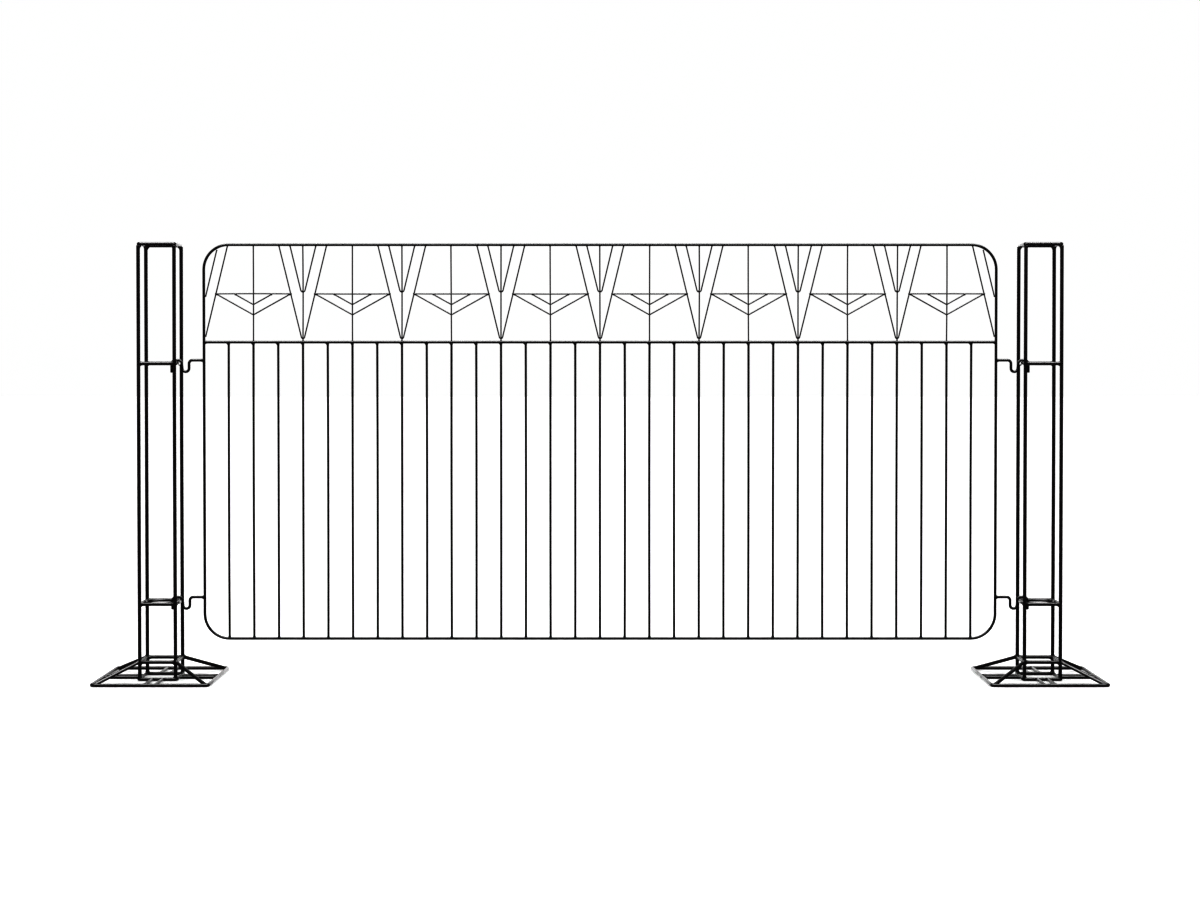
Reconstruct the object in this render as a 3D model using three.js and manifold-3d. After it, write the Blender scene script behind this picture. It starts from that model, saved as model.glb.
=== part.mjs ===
// A free-standing crowd barricade made of welded round rod.
//
// A rounded panel of pickets carries two hooks at each end. The hooks drop over the rails of
// two square wire posts, and each post stands on a low, wide foot. The panel lies along X in
// the plane Y = 0, Z points up, and the floor is Z = 0. All sizes are millimetres.

import * as THREE from 'three';
import { mergeVertices } from 'three/addons/utils/BufferGeometryUtils.js';
import Module from 'manifold-3d';

// ---------------------------------------------------------------- rod stock
const POST_ROD = 8; // legs, rings and feet of the posts
const HOOP_ROD = 6; // panel hoop and mid rail
const HOOK_ROD = 6; // the four hooks
const POLE_RING_ROD = 6; // round rings inside the hook rings
const PICKET_ROD = 5; // upright pickets
const FRIEZE_WIRE = 2.8; // drawn wires of the ornamental frieze

// ---------------------------------------------------------------- panel
const PANEL_WIDTH = 1824; // between the centre lines of the hoop's two sides
const PANEL_BOTTOM_Z = 92; // centre line of the bottom rail above the floor
const PANEL_HEIGHT = 908; // bottom rail to top rail, centre lines
const FRIEZE_HEIGHT = 224; // mid rail to top rail, centre lines
const HOOP_CORNER_RADIUS = 57; // centre line radius of the hoop's bends
const PICKET_SPACES = 32; // equal spaces between the hoop's two sides
const PICKETS_PER_BAY = 4; // the frieze repeats every four pickets

// ---------------------------------------------------------------- frieze
const VEE_HALF_WIDTH = 55.3; // outer vee, at the top rail's centre line
const VEE_INNER_HALF_WIDTH = 30.3; // inner vee, at the same height
const VEE_END_HALF_WIDTH = 33; // the lone inner wire beside each end of the panel
const VEE_SLOPE = 0.243; // sideways run of a vee wire for each unit of drop
const VEE_BEND_RADIUS = 3.7; // tight bend at the foot of the outer vee
const VEE_INNER_BEND_RADIUS = 5;
const BAR_DROP = 112.9; // cross bar below the top rail's centre line
const CHEVRON_SLOPE = 0.56; // drop of a chevron for each unit of its half width
const CHEVRON_INNER_HALF_WIDTH = 44.2;
const CHEVRON_BEND_RADIUS = 2; // at the point of the outer chevron
const CHEVRON_INNER_BEND_RADIUS = 5;
const CHEVRON_TURN_UP = 6; // last part of a chevron's half width, which turns up to the bar
const CHEVRON_TURN_UP_RADIUS = 5;

// ---------------------------------------------------------------- hooks
const HOOK_REACH = 60; // hoop's side to the post rail that the hook straddles
const HOOK_SPACING = 546.5; // upper arm to lower arm
const HOOK_DEPTH = 26.5; // arm down to the bottom of the dip, centre lines
const HOOK_TIP_DROP = 28.5; // crown down to the cut end of the tip
const HOOK_DIP_WIDTH = 15; // between the two branches of the dip, centre lines
const HOOK_DIP_STRAIGHT = 0.2; // left straight between the dip's two bends
const HOOK_DIP_LEAN = 2.6; // how far the post-side branch leans from the crown to the dip
const HOOK_CROWN_RADIUS = 6.5;
const HOOK_BEND_RADIUS = 6;
const HOOK_TIP_PLAY = 2; // sideways air between the tip and the pole ring
const HOOK_DIP_PLAY = 0.8; // the same, between the rail and the branch towards the dip

// ---------------------------------------------------------------- posts
const TOWER_HALF = 41; // tower centre to a leg, both ways
const TOP_RING_Z = 1000; // square ring that closes the top of the legs
const UPPER_RING_Z = 727; // hook rings: the panel hangs on the upper one
const LOWER_RING_Z = 176; // and the lower one only steadies it
const COLLAR_Z = 43; // square collar that ties the legs where the struts land
const SQUARE_BEND_RADIUS = 6; // corners of the top ring and the base ring
const BASE_RING_OUTSET = 2; // ring on the floor that the legs stand on, wider than the tower
const FOOT_HALF = 131; // foot centre to the outer square's centre line
const FOOT_BEND_RADIUS = 8;
const STUB_HALF_SPACING = 12; // half the distance between the two stubs of a pair
const STRUT_INSET = 3; // strut's lower end, inside the bend of the foot's corner, both ways
const WELD_BEAD_RADIUS = 3.2; // bead in the inner corner where two rails meet a leg

// ---------------------------------------------------------------- how pieces meet
const GAP = 0.3; // air left at every welded or resting contact
const WELD_BITE = 0.4; // overlap of rods that are joined into one piece
const ROD_SIDES = 8;
const WIRE_SIDES = 4;
const POLE_RING_FACETS = 16; // a multiple of four, so that a corner meets each rail
const BEAD_FACETS = 6;
const BEAD_RINGS = 4;
const SAME_POINT = 1e-4; // corners nearer than this are one corner of a solid
const ROUNDING = 1e-6; // keeps an exact number of facets from being rounded up
const BEND_STEP = 30; // degrees of bend for each facet along a rod
const WIRE_BEND_STEP = 60; // the same, on the tight bends of the frieze wires
const WIDE_BEND_STEP = 9; // the same, on the hoop's large corners

// ---------------------------------------------------------------- derived places
const PANEL_HALF = PANEL_WIDTH / 2;
const TOP_RAIL_Z = PANEL_BOTTOM_Z + PANEL_HEIGHT;
const MID_RAIL_Z = TOP_RAIL_Z - FRIEZE_HEIGHT;
const PICKET_PITCH = PANEL_WIDTH / PICKET_SPACES;
const BAY_PITCH = PICKET_PITCH * PICKETS_PER_BAY;
const BAYS = PICKET_SPACES / PICKETS_PER_BAY;
const TOWER_X = PANEL_HALF + HOOK_REACH + TOWER_HALF;
const UPPER_ARM_Z = UPPER_RING_Z + POST_ROD / 2 + GAP + HOOK_ROD / 2;
const POLE_RING_RADIUS = TOWER_HALF - POST_ROD / 2 - POLE_RING_ROD / 2 + WELD_BITE;
const BASE_RING_HALF = TOWER_HALF + BASE_RING_OUTSET;
// From the rail to the crown's panel-side end.
const HOOK_CROWN_EDGE = POST_ROD / 2 + HOOK_ROD / 2 + HOOK_DIP_PLAY;
const HOOK_DIP_OFFSET = HOOK_CROWN_EDGE + HOOK_DIP_LEAN;
const HOOK_TIP_OFFSET =
  TOWER_HALF - POLE_RING_RADIUS + POLE_RING_ROD / 2 + HOOK_ROD / 2 + HOOK_TIP_PLAY;

const wasm = await Module();
wasm.setup();

// ---------------------------------------------------------------- finishes
const powderCoat = new THREE.MeshStandardMaterial({ color: 0x121316, roughness: 0.36, metalness: 0 });
const hookCoat = new THREE.MeshStandardMaterial({ color: 0x0f1012, roughness: 0.42, metalness: 0 });
const wireCoat = new THREE.MeshStandardMaterial({ color: 0x16171a, roughness: 0.4, metalness: 0 });

// A path with a station wherever the rod changes direction, so straight runs stay one facet long.
class RodPath extends THREE.Curve {
  constructor(stations) {
    super();
    this.stations = stations;
  }

  getPoint(t, target = new THREE.Vector3()) {
    const place = t * (this.stations.length - 1);
    const before = Math.min(Math.floor(place), this.stations.length - 2);
    return target.lerpVectors(this.stations[before], this.stations[before + 1], place - before);
  }

  getPointAt(u, target) {
    return this.getPoint(u, target);
  }

  // Halfway between the directions of the two runs that meet at the station.
  getTangentAt(u, target = new THREE.Vector3()) {
    const last = this.stations.length - 1;
    const index = Math.round(u * last);
    const arriving = new THREE.Vector3();
    const leaving = new THREE.Vector3();
    if (index > 0) {
      arriving.subVectors(this.stations[index], this.stations[index - 1]).normalize();
    }
    if (index < last) {
      leaving.subVectors(this.stations[index + 1], this.stations[index]).normalize();
    }
    return target.addVectors(arriving, leaving).normalize();
  }
}

// Stations along straight runs between corner points, each inner corner bent to its radius.
function bentStations(corners, radii, step = BEND_STEP) {
  const stations = [corners[0].clone()];
  for (let i = 1; i < corners.length - 1; i += 1) {
    const radius = Array.isArray(radii) ? radii[i - 1] : radii;
    const arriving = new THREE.Vector3().subVectors(corners[i], corners[i - 1]).normalize();
    const leaving = new THREE.Vector3().subVectors(corners[i + 1], corners[i]).normalize();
    const turn = arriving.angleTo(leaving);
    const setback = radius * Math.tan(turn / 2);
    const start = corners[i].clone().addScaledVector(arriving, -setback);
    const sideways = leaving.clone().addScaledVector(arriving, -leaving.dot(arriving)).normalize();
    const facets = Math.max(1, Math.ceil(THREE.MathUtils.radToDeg(turn) / step - ROUNDING));
    for (let k = 0; k <= facets; k += 1) {
      const angle = (turn * k) / facets;
      stations.push(
        start
          .clone()
          .addScaledVector(arriving, radius * Math.sin(angle))
          .addScaledVector(sideways, radius * (1 - Math.cos(angle))),
      );
    }
  }
  stations.push(corners[corners.length - 1].clone());
  return stations;
}

// Regular section of a rod, with flats that face the axes and lie at the rod's true radius.
function rodSection(diameter, sides) {
  const halfFacet = Math.PI / sides;
  const cornerRadius = diameter / 2 / Math.cos(halfFacet);
  const outline = [];
  for (let i = 0; i < sides; i += 1) {
    const angle = halfFacet * (2 * i + 1);
    outline.push(new THREE.Vector2(cornerRadius * Math.cos(angle), cornerRadius * Math.sin(angle)));
  }
  return new THREE.Shape(outline);
}

function rod(stations, diameter, sides = ROD_SIDES) {
  return new THREE.ExtrudeGeometry(rodSection(diameter, sides), {
    steps: stations.length - 1,
    extrudePath: new RodPath(stations),
  });
}

function straightRod(from, to, diameter, sides = ROD_SIDES) {
  return rod([from, to], diameter, sides);
}

// ---------------------------------------------------------------- joining rods
function toSolid(geometry) {
  const bare = geometry.clone();
  bare.deleteAttribute('normal');
  bare.deleteAttribute('uv');
  const merged = mergeVertices(bare, SAME_POINT);
  return new wasm.Manifold(
    new wasm.Mesh({
      numProp: 3,
      vertProperties: new Float32Array(merged.attributes.position.array),
      triVerts: new Uint32Array(merged.index.array),
    }),
  );
}

function weld(geometries) {
  let whole = toSolid(geometries[0]);
  for (const geometry of geometries.slice(1)) {
    whole = whole.add(toSolid(geometry));
  }
  const mesh = whole.getMesh();
  const welded = new THREE.BufferGeometry();
  welded.setAttribute('position', new THREE.BufferAttribute(new Float32Array(mesh.vertProperties), 3));
  welded.setIndex(new THREE.BufferAttribute(new Uint32Array(mesh.triVerts), 1));
  welded.computeVertexNormals();
  return welded;
}

function named(name, geometry, material, x = 0, y = 0, z = 0) {
  const mesh = new THREE.Mesh(geometry, material);
  mesh.name = name;
  mesh.position.set(x, y, z);
  return mesh;
}

const point = (x, y, z) => new THREE.Vector3(x, y, z);

// ---------------------------------------------------------------- shared shapes

// A closed rectangle of bent rod: two halves that overlap on the straight runs where they are
// welded. The corners come in order round the rectangle.
function closedLoop(corners, radius, diameter, step = BEND_STEP) {
  const [a, b, c, d] = corners;
  const overlap = diameter;
  const startMiddle = a.clone().add(d).multiplyScalar(0.5);
  const farMiddle = b.clone().add(c).multiplyScalar(0.5);
  const alongStart = new THREE.Vector3().subVectors(d, a).normalize();
  const alongFar = new THREE.Vector3().subVectors(c, b).normalize();
  const firstHalf = bentStations(
    [
      startMiddle.clone().addScaledVector(alongStart, overlap),
      a,
      b,
      farMiddle.clone().addScaledVector(alongFar, overlap),
    ],
    radius,
    step,
  );
  const secondHalf = bentStations([farMiddle, c, d, startMiddle], radius, step);
  return weld([rod(firstHalf, diameter), rod(secondHalf, diameter)]);
}

function flatSquare(half, z) {
  return [point(-half, -half, z), point(half, -half, z), point(half, half, z), point(-half, half, z)];
}

// Four short rails between the legs, held together by the weld bead in each inner corner.
function railsBetweenLegs() {
  const railEnd = TOWER_HALF - POST_ROD / 2 - GAP;
  const beadPlace = TOWER_HALF - POST_ROD / 2 - GAP - WELD_BEAD_RADIUS / 2;
  const pieces = [];
  for (const side of [-1, 1]) {
    const alongX = [point(-railEnd, side * TOWER_HALF, 0), point(railEnd, side * TOWER_HALF, 0)];
    const alongY = [point(side * TOWER_HALF, -railEnd, 0), point(side * TOWER_HALF, railEnd, 0)];
    pieces.push(straightRod(...alongX, POST_ROD), straightRod(...alongY, POST_ROD));
    for (const otherSide of [-1, 1]) {
      const bead = new THREE.SphereGeometry(WELD_BEAD_RADIUS, BEAD_FACETS, BEAD_RINGS);
      bead.translate(side * beadPlace, otherSide * beadPlace, 0);
      pieces.push(bead);
    }
  }
  return pieces;
}

// Round ring that a pole or a flag staff stands in, welded to the middles of the four rails.
function poleRing() {
  const halfFacet = Math.PI / ROD_SIDES;
  const cornerRadius = POLE_RING_ROD / 2 / Math.cos(halfFacet);
  const profile = [];
  for (let i = 0; i <= ROD_SIDES; i += 1) {
    const angle = halfFacet * (2 * (i % ROD_SIDES) + 1);
    profile.push(
      new THREE.Vector2(
        POLE_RING_RADIUS + cornerRadius * Math.cos(angle),
        cornerRadius * Math.sin(angle),
      ),
    );
  }
  const ring = new THREE.LatheGeometry(profile, POLE_RING_FACETS);
  ring.rotateX(Math.PI / 2);
  return ring;
}

// ---------------------------------------------------------------- panel pieces
function panelHoop() {
  const corners = [
    point(-PANEL_HALF, 0, TOP_RAIL_Z),
    point(-PANEL_HALF, 0, PANEL_BOTTOM_Z),
    point(PANEL_HALF, 0, PANEL_BOTTOM_Z),
    point(PANEL_HALF, 0, TOP_RAIL_Z),
  ];
  return closedLoop(corners, HOOP_CORNER_RADIUS, HOOP_ROD, WIDE_BEND_STEP);
}

function midRail() {
  const end = PANEL_HALF - HOOP_ROD / 2 - GAP;
  return straightRod(point(-end, 0, 0), point(end, 0, 0), HOOP_ROD);
}

function picket() {
  const bottom = PANEL_BOTTOM_Z + HOOP_ROD / 2 + GAP;
  const top = MID_RAIL_Z - HOOP_ROD / 2 - GAP;
  return straightRod(point(0, 0, bottom), point(0, 0, top), PICKET_ROD);
}

// A hook seen from the front: arm from the hoop, dip, crown over the post's rail, tip.
// It is drawn for the left end, with its origin on the arm's line above the rail.
function hook() {
  const armEnd = HOOK_REACH - HOOP_ROD / 2 - GAP;
  const dipPanelSide = HOOK_DIP_OFFSET + HOOK_DIP_WIDTH;
  const corners = [
    point(armEnd, 0, 0),
    point(dipPanelSide, 0, 0),
    point(dipPanelSide, 0, -HOOK_DEPTH),
    point(HOOK_DIP_OFFSET, 0, -HOOK_DEPTH),
    point(HOOK_CROWN_EDGE, 0, 0),
    point(-HOOK_TIP_OFFSET, 0, 0),
    point(-HOOK_TIP_OFFSET, 0, -HOOK_TIP_DROP),
  ];
  const radii = [
    HOOK_BEND_RADIUS,
    (HOOK_DIP_WIDTH - HOOK_DIP_STRAIGHT) / 2,
    HOOK_BEND_RADIUS,
    HOOK_CROWN_RADIUS,
    HOOK_CROWN_RADIUS,
  ];
  return rod(bentStations(corners, radii), HOOK_ROD);
}

// ---------------------------------------------------------------- frieze pieces
const FRIEZE_TOP_Z = TOP_RAIL_Z - HOOP_ROD / 2 - GAP;
const FRIEZE_BOTTOM_Z = MID_RAIL_Z + HOOP_ROD / 2 + GAP;
const VEE_LEAN = Math.atan(VEE_SLOPE);
const WIRE_CORNER = FRIEZE_WIRE / 2 / Math.cos(Math.PI / WIRE_SIDES);

// Point on a vee's right arm at a height, measured from the vee's middle.
function veeOffset(halfWidth, z) {
  return halfWidth - VEE_SLOPE * (TOP_RAIL_Z - z);
}

function vee(middleX, halfWidth, bendRadius) {
  const top = FRIEZE_TOP_Z - WIRE_CORNER * Math.sin(VEE_LEAN);
  const meetZ = TOP_RAIL_Z - halfWidth / VEE_SLOPE;
  const reach = veeOffset(halfWidth, top);
  const corners = [
    point(middleX - reach, 0, top),
    point(middleX, 0, meetZ),
    point(middleX + reach, 0, top),
  ];
  return rod(bentStations(corners, bendRadius, WIRE_BEND_STEP), FRIEZE_WIRE, WIRE_SIDES);
}

// The vee that would be centred on the hoop's side: only the arm inside the panel is made.
function endArm(side) {
  const top = FRIEZE_TOP_Z - WIRE_CORNER * Math.sin(VEE_LEAN);
  const inner = HOOP_ROD / 2 + GAP + WIRE_CORNER;
  const low = TOP_RAIL_Z - (VEE_HALF_WIDTH - inner) / VEE_SLOPE;
  const from = point(side * (PANEL_HALF - veeOffset(VEE_HALF_WIDTH, top)), 0, top);
  const to = point(side * (PANEL_HALF - inner), 0, low);
  return straightRod(from, to, FRIEZE_WIRE, WIRE_SIDES);
}

// The shorter wire beside it, from the hoop's bend down to the hoop's side.
function endWire(side) {
  const inner = HOOP_ROD / 2 + GAP + WIRE_CORNER;
  const low = TOP_RAIL_Z - (VEE_END_HALF_WIDTH - inner) / VEE_SLOPE;
  // The top is where the wire's line meets the circle that stays clear of the hoop's bend.
  const clearRadius = HOOP_CORNER_RADIUS - HOOP_ROD / 2 - GAP - WIRE_CORNER;
  const sideways = HOOP_CORNER_RADIUS * (1 + VEE_SLOPE) - VEE_END_HALF_WIDTH;
  const steepness = 1 + VEE_SLOPE ** 2;
  const root = Math.sqrt(steepness * clearRadius ** 2 - sideways ** 2);
  const top = TOP_RAIL_Z - HOOP_CORNER_RADIUS + (VEE_SLOPE * sideways + root) / steepness;
  const from = point(side * (PANEL_HALF - veeOffset(VEE_END_HALF_WIDTH, top)), 0, top);
  const to = point(side * (PANEL_HALF - inner), 0, low);
  return straightRod(from, to, FRIEZE_WIRE, WIRE_SIDES);
}

function friezeUpright(x) {
  return straightRod(point(x, 0, FRIEZE_BOTTOM_Z), point(x, 0, FRIEZE_TOP_Z), FRIEZE_WIRE, WIRE_SIDES);
}

// A shallow vee whose two ends turn up a little more steeply to meet the bar.
function chevron(middleX, halfWidth, bendRadius) {
  const barZ = TOP_RAIL_Z - BAR_DROP;
  const end = halfWidth - CHEVRON_TURN_UP / 2;
  const knee = halfWidth - CHEVRON_TURN_UP;
  const kneeZ = barZ - CHEVRON_TURN_UP * CHEVRON_SLOPE;
  const corners = [
    point(middleX - end, 0, barZ),
    point(middleX - knee, 0, kneeZ),
    point(middleX, 0, barZ - halfWidth * CHEVRON_SLOPE),
    point(middleX + knee, 0, kneeZ),
    point(middleX + end, 0, barZ),
  ];
  const radii = [CHEVRON_TURN_UP_RADIUS, bendRadius, CHEVRON_TURN_UP_RADIUS];
  return rod(bentStations(corners, radii, WIRE_BEND_STEP), FRIEZE_WIRE, WIRE_SIDES);
}

// Upright, cross bar and two chevrons in the middle of a bay.
function bayMotif(middleX) {
  const barZ = TOP_RAIL_Z - BAR_DROP;
  const barHalf = BAY_PITCH / 2 - veeOffset(VEE_HALF_WIDTH, barZ);
  const barStart = point(middleX - barHalf, 0, barZ);
  const barEnd = point(middleX + barHalf, 0, barZ);
  return [
    friezeUpright(middleX),
    straightRod(barStart, barEnd, FRIEZE_WIRE, WIRE_SIDES),
    chevron(middleX, barHalf, CHEVRON_BEND_RADIUS),
    chevron(middleX, CHEVRON_INNER_HALF_WIDTH, CHEVRON_INNER_BEND_RADIUS),
  ];
}

function friezeLattice() {
  const wires = [endArm(-1), endArm(1)];
  for (let bay = 0; bay < BAYS; bay += 1) {
    wires.push(...bayMotif(-PANEL_HALF + BAY_PITCH * (bay + 0.5)));
  }
  for (let bay = 1; bay < BAYS; bay += 1) {
    const middleX = -PANEL_HALF + BAY_PITCH * bay;
    wires.push(vee(middleX, VEE_HALF_WIDTH, VEE_BEND_RADIUS));
    wires.push(vee(middleX, VEE_INNER_HALF_WIDTH, VEE_INNER_BEND_RADIUS));
    wires.push(friezeUpright(middleX));
  }
  return weld(wires);
}

// ---------------------------------------------------------------- post pieces
function leg() {
  const bottom = POST_ROD + GAP;
  const top = TOP_RING_Z - POST_ROD / 2 - GAP;
  return straightRod(point(0, 0, bottom), point(0, 0, top), POST_ROD);
}

function topRing() {
  return closedLoop(flatSquare(TOWER_HALF, 0), SQUARE_BEND_RADIUS, POST_ROD);
}

function hookRing() {
  return weld([...railsBetweenLegs(), poleRing()]);
}

function collar() {
  return weld(railsBetweenLegs());
}

function baseRing() {
  return closedLoop(flatSquare(BASE_RING_HALF, 0), SQUARE_BEND_RADIUS, POST_ROD);
}

// The outer square on the floor, its eight stubs towards the base ring, and the four struts
// that climb from its corners to the legs.
function footFrame() {
  const pieces = [closedLoop(flatSquare(FOOT_HALF, 0), FOOT_BEND_RADIUS, POST_ROD)];
  const stubInner = BASE_RING_HALF + POST_ROD / 2 + GAP;
  const stubOuter = FOOT_HALF - POST_ROD / 2 + WELD_BITE;
  for (const side of [-1, 1]) {
    for (const across of [-STUB_HALF_SPACING, STUB_HALF_SPACING]) {
      const alongX = [point(side * stubInner, across, 0), point(side * stubOuter, across, 0)];
      const alongY = [point(across, side * stubInner, 0), point(across, side * stubOuter, 0)];
      pieces.push(straightRod(...alongX, POST_ROD), straightRod(...alongY, POST_ROD));
    }
    for (const otherSide of [-1, 1]) {
      pieces.push(strut(side, otherSide));
    }
  }
  return weld(pieces);
}

// One strut, from just inside the foot's corner to the outer corner of a leg at the collar.
function strut(sideX, sideY) {
  const bendMiddle = FOOT_HALF - FOOT_BEND_RADIUS * (1 - Math.SQRT1_2);
  const low = bendMiddle - STRUT_INSET;
  const legFace = TOWER_HALF + (POST_ROD / 2 + GAP) / Math.SQRT2;
  const rise = COLLAR_Z - POST_ROD / 2;
  const run = (low - legFace) * Math.SQRT2;
  const lean = Math.atan2(rise, run);
  const setback = (POST_ROD / 2) * Math.sin(lean);
  const high = legFace + setback / Math.SQRT2;
  return straightRod(
    point(sideX * low, sideY * low, 0),
    point(sideX * high, sideY * high, rise),
    POST_ROD,
  );
}

// ---------------------------------------------------------------- assembly
function buildPanel() {
  const panel = new THREE.Group();
  panel.add(named('panel_hoop', panelHoop(), powderCoat));
  panel.add(named('mid_rail', midRail(), powderCoat, 0, 0, MID_RAIL_Z));

  const picketShape = picket();
  for (let i = 1; i < PICKET_SPACES; i += 1) {
    const label = String(i).padStart(2, '0');
    panel.add(named(`picket_${label}`, picketShape, powderCoat, -PANEL_HALF + PICKET_PITCH * i));
  }

  panel.add(named('frieze_lattice', friezeLattice(), wireCoat));
  panel.add(named('end_wire_left', endWire(-1), wireCoat));
  panel.add(named('end_wire_right', endWire(1), wireCoat));

  const hookShape = hook();
  const railX = PANEL_HALF + HOOK_REACH;
  const heights = { upper: UPPER_ARM_Z, lower: UPPER_ARM_Z - HOOK_SPACING };
  for (const [level, z] of Object.entries(heights)) {
    const left = named(`hook_${level}_left`, hookShape, hookCoat, -railX, 0, z);
    const right = named(`hook_${level}_right`, hookShape, hookCoat, railX, 0, z);
    right.rotation.z = Math.PI;
    panel.add(left, right);
  }
  return panel;
}

// A post, built round its own centre line. Its outer face looks away from the panel.
function buildPost(label, outwards) {
  const post = new THREE.Group();
  const legShape = leg();
  for (const [depth, y] of [['front', -TOWER_HALF], ['back', TOWER_HALF]]) {
    for (const [place, x] of [['inner', -TOWER_HALF], ['outer', TOWER_HALF]]) {
      post.add(named(`${label}_leg_${depth}_${place}`, legShape, powderCoat, x * outwards, y));
    }
  }
  post.add(named(`${label}_top_ring`, topRing(), powderCoat, 0, 0, TOP_RING_Z));
  post.add(named(`${label}_upper_hook_ring`, hookRing(), powderCoat, 0, 0, UPPER_RING_Z));
  post.add(named(`${label}_lower_hook_ring`, hookRing(), powderCoat, 0, 0, LOWER_RING_Z));
  post.add(named(`${label}_collar`, collar(), powderCoat, 0, 0, COLLAR_Z));
  post.add(named(`${label}_base_ring`, baseRing(), powderCoat, 0, 0, POST_ROD / 2));
  post.add(named(`${label}_foot_frame`, footFrame(), powderCoat, 0, 0, POST_ROD / 2));
  return post;
}

const barricade = new THREE.Group();
barricade.add(buildPanel());

const leftPost = buildPost('left', -1);
leftPost.position.x = -TOWER_X;
barricade.add(leftPost);

const rightPost = buildPost('right', 1);
rightPost.position.x = TOWER_X;
barricade.add(rightPost);

export default barricade;
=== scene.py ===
# %% [markdown]
# # A welded-rod barricade, as a lesson in cells
#
# The object is a free-standing crowd barrier: a panel of thin round rods hooked between two square
# posts of thicker rod, all of it coated with glossy black powder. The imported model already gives
# every rod its place and its size, but each rod there has only four or eight flat sides. In this
# lesson every rod is carried along its path again with a round section, the welds get their
# fillets, and the coat gets its fine orange peel, its dust and its rubbed places.

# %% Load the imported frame
import math

import bpy
import numpy as np
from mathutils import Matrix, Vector


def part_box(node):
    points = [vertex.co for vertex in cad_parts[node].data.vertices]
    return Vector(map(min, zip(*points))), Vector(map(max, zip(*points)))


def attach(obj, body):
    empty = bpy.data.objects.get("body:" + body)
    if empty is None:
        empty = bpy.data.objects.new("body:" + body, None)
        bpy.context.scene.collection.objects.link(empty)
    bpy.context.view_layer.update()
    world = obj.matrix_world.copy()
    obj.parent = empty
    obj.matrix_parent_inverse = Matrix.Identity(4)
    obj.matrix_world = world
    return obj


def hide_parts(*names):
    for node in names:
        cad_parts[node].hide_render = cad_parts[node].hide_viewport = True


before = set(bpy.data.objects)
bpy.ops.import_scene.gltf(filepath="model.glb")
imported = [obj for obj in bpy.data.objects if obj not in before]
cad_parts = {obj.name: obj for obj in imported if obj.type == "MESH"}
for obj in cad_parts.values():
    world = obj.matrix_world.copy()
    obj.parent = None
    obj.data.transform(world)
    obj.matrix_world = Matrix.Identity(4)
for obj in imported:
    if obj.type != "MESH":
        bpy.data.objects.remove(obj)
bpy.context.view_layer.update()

# %% [markdown]
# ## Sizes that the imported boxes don't give
#
# A box says where a rod starts and ends, and how thick it is. It can't say how a hook bends or how
# the wires of the frieze run, so those sizes are written here once, in millimetres, and turned into
# metres. How far a weld spreads is written beside the piece that has it.

# %% Sizes in millimetres
MM = 0.001
SEED = 11

BITE = 0.9 * MM  # how far a welded end runs into its neighbour
CLEAR = 0.02 * MM  # how much thinner the outermost rods are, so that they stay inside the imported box
STEP = math.radians(6)  # turn between two rings along a bend
HOOK_STEP = math.radians(9)
ROD_RING = 20  # points round a rod
POLE_ROD_RING = 16
WIRE_RING = 12  # points round a frieze wire
ROD_BOW = 0.5 * MM  # how far a long rod is out of true

HOOP_BEND = 57 * MM
SQUARE_BEND = 6 * MM
FOOT_BEND = 8 * MM

HOOK_REACH = 60 * MM
HOOK_DEPTH = 26.5 * MM
HOOK_TIP_DROP = 28.5 * MM
HOOK_TIP_OFFSET = 14.6 * MM
HOOK_CROWN_EDGE = 7.8 * MM
HOOK_DIP_OFFSET = 10.4 * MM
HOOK_DIP_WIDTH = 15 * MM
HOOK_BENDS = (7.8 * MM, 7.6 * MM, 7.6 * MM, 7.2 * MM, 9 * MM)
TIP_BEVEL = 0.7 * MM

POLE_RING_MIDDLE = 34.4 * MM
POLE_RING_STEPS = 96
POLE_ROD = 3 * MM
STUB_MIDDLE = 12 * MM
STRUT_INSET = 3 * MM
THINNER = 0.985  # share of the rod's thickness for rods that end in another one's side

BAY = 228 * MM
BAYS = 8
WIRE = 1.4 * MM
VEE_HALF = 55.3 * MM
VEE_INNER_HALF = 30.3 * MM
VEE_END_HALF = 33 * MM
VEE_SLOPE = 0.243
VEE_BEND = 3.7 * MM
VEE_INNER_BEND = 5 * MM
BAR_DROP = 112.9 * MM
CHEVRON_SLOPE = 0.56
CHEVRON_INNER_HALF = 44.2 * MM
CHEVRON_TURN_UP = 6 * MM  # how far from its end a chevron turns up to the bar
CHEVRON_TURN_UP_BEND = 5 * MM
CHEVRON_BENDS = {"outer": 2 * MM, "inner": 5 * MM}

random = np.random.default_rng(SEED)
X, Y, Z = np.eye(3)
print("bends are cut every", round(math.degrees(STEP)), "degrees")

# %% [markdown]
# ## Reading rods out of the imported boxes
#
# A straight rod's box is as wide as the rod is thick, so its middle line and radius come straight
# from the box. Reading them here, instead of typing them again, keeps the fine rods exactly where
# the collision model has its own.


# %% Middle and radius of a packed rod
def box_of(node):
    """Lowest corner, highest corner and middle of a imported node, as arrays."""
    low, high = (np.array(corner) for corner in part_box(node))
    return low, high, (low + high) / 2


hoop_low, hoop_high = box_of("panel_hoop")[:2]
HOOP_ROD = (hoop_high[1] - hoop_low[1]) / 2
HALF = hoop_high[0] - HOOP_ROD
BOTTOM = hoop_low[2] + HOOP_ROD
TOP = hoop_high[2] - HOOP_ROD
MID = box_of("mid_rail")[2][2]
leg_low, leg_high, leg_middle = box_of("right_leg_front_outer")
POST_ROD = (leg_high[0] - leg_low[0]) / 2
TOWER_X = box_of("right_collar")[2][0]
TOWER_HALF = leg_middle[0] - TOWER_X
PICKETS = sorted(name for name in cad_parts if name.startswith("picket_"))
print("hoop", round(2 * HALF / MM), "by", round((TOP - BOTTOM) / MM), "mm,", len(PICKETS), "pickets")

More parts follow.
